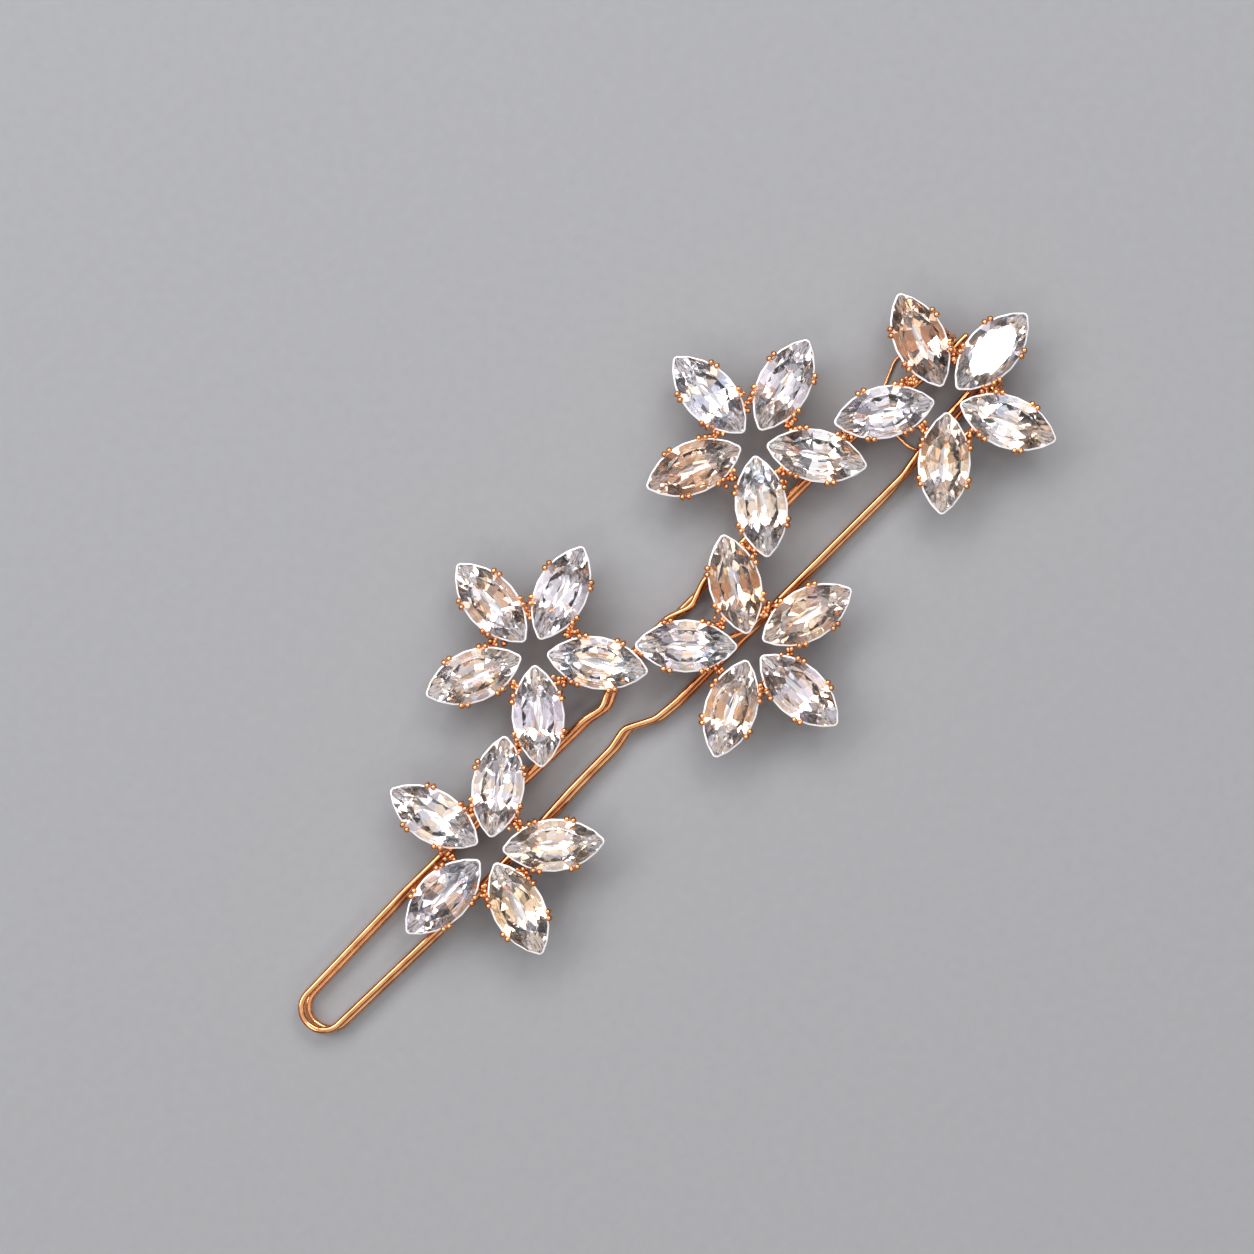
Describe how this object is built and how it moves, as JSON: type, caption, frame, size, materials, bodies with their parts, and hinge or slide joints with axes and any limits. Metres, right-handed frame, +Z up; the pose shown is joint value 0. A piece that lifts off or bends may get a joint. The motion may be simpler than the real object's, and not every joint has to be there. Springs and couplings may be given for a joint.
{
  "type": "hair clip with jewelled flowers",
  "caption": "Sprung hairpin clip of round gold-coloured wire, covered by a winding row of flowers whose petals are pointed oval stones in claw cups.",
  "frame": {"origin": "on the resting surface, under the middle of the whole clip", "axes": "+X along the clip from its nose to its hinge, +Y to the side of the two outer flowers, +Z up out of the stones' tables"},
  "size_m": [0.0974, 0.0368, 0.0052],
  "materials": {
    "rose_gold": "polished rose-gold plating on brass, with worn, softer places on the wires",
    "gilt_spring_steel": "thin drawn spring wire with rose-gold plating",
    "clear_stone": "clear cut glass, foiled behind, with champagne and lilac lights"
  },
  "bodies": {
    "frame": {"soldered_frame": "rose_gold", "stone_1_1": "clear_stone", "stone_1_2": "clear_stone", "stone_1_3": "clear_stone", "stone_1_4": "clear_stone", "stone_1_5": "clear_stone", "stone_2_1": "clear_stone", "stone_2_2": "clear_stone", "stone_2_3": "clear_stone", "stone_2_4": "clear_stone", "stone_2_5": "clear_stone", "stone_3_1": "clear_stone", "stone_3_2": "clear_stone", "stone_3_3": "clear_stone", "stone_3_4": "clear_stone", "stone_3_5": "clear_stone", "stone_4_1": "clear_stone", "stone_4_2": "clear_stone", "stone_4_3": "clear_stone", "stone_4_4": "clear_stone", "stone_4_5": "clear_stone", "stone_5_1": "clear_stone", "stone_5_2": "clear_stone", "stone_5_3": "clear_stone", "stone_5_4": "clear_stone", "stone_5_5": "clear_stone"},
    "arm": {"lower_arm": "rose_gold", "torsion_spring": "gilt_spring_steel"}
  },
  "joints": [
    {"name": "arm_hinge", "type": "hinge", "parent": "frame", "child": "arm", "pos_m": [0.04156, -0.00274, 0.00154], "axis": [0, -1, 0], "range_deg": [0, 35], "stiffness_Nm_per_rad": 0.009, "springref_deg": -89.95}
  ]
}
